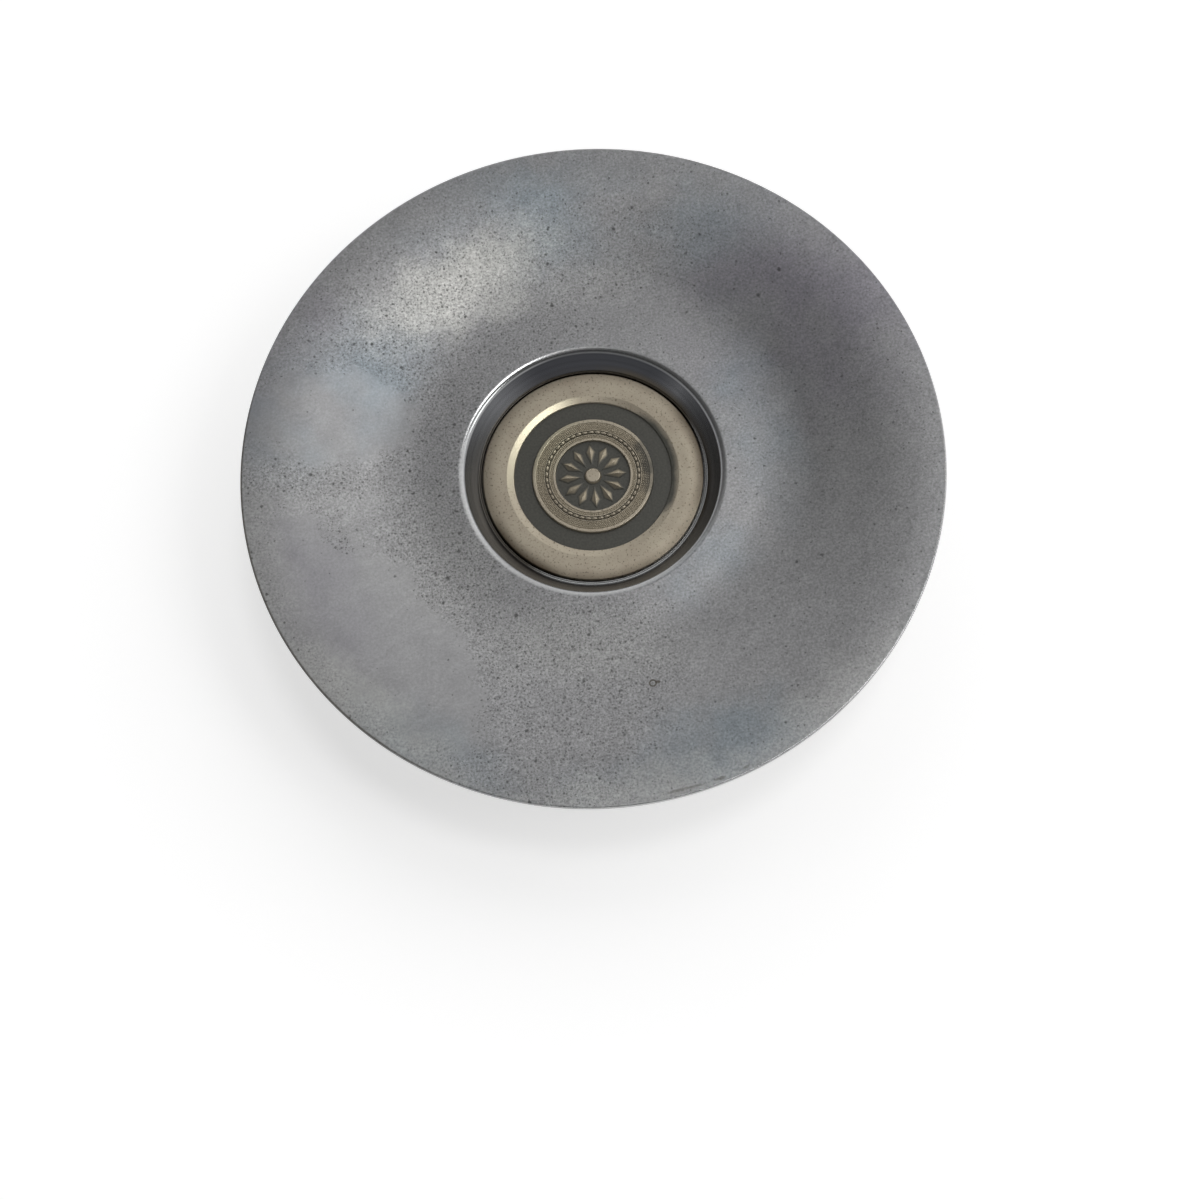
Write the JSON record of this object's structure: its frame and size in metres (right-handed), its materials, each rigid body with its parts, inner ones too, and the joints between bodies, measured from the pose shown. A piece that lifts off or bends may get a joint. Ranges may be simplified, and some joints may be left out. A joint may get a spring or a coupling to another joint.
{
  "type": "wheel center cap",
  "caption": "Round dished wheel center cap with a medallion in a recessed well, on a snap-in retainer with a wire spring; covers the hub and lug nuts.",
  "frame": {"origin": "on the wheel's axis, in the seat plane where the retainer's flange bears on the wheel", "axes": "+Z along the wheel's axis, out of the face; X and Y are radial, with the spring ring's gap towards -X"},
  "size_m": [0.178, 0.178, 0.0304],
  "materials": {
    "worn_aluminium": "worn satin with fine dark pits",
    "champagne_brass": "dull struck brass with a dark filled ring",
    "black_nylon": "moulded, fine matt",
    "spring_wire": "drawn wire, yellow zinc worn grey",
    "spring_steel": "blackened spring steel"
  },
  "bodies": {
    "root": {"face_dish": "worn_aluminium", "medallion": "champagne_brass", "retainer": "black_nylon", "spring_ring": "spring_wire", "push_nuts": "spring_steel"}
  },
  "joints": []
}
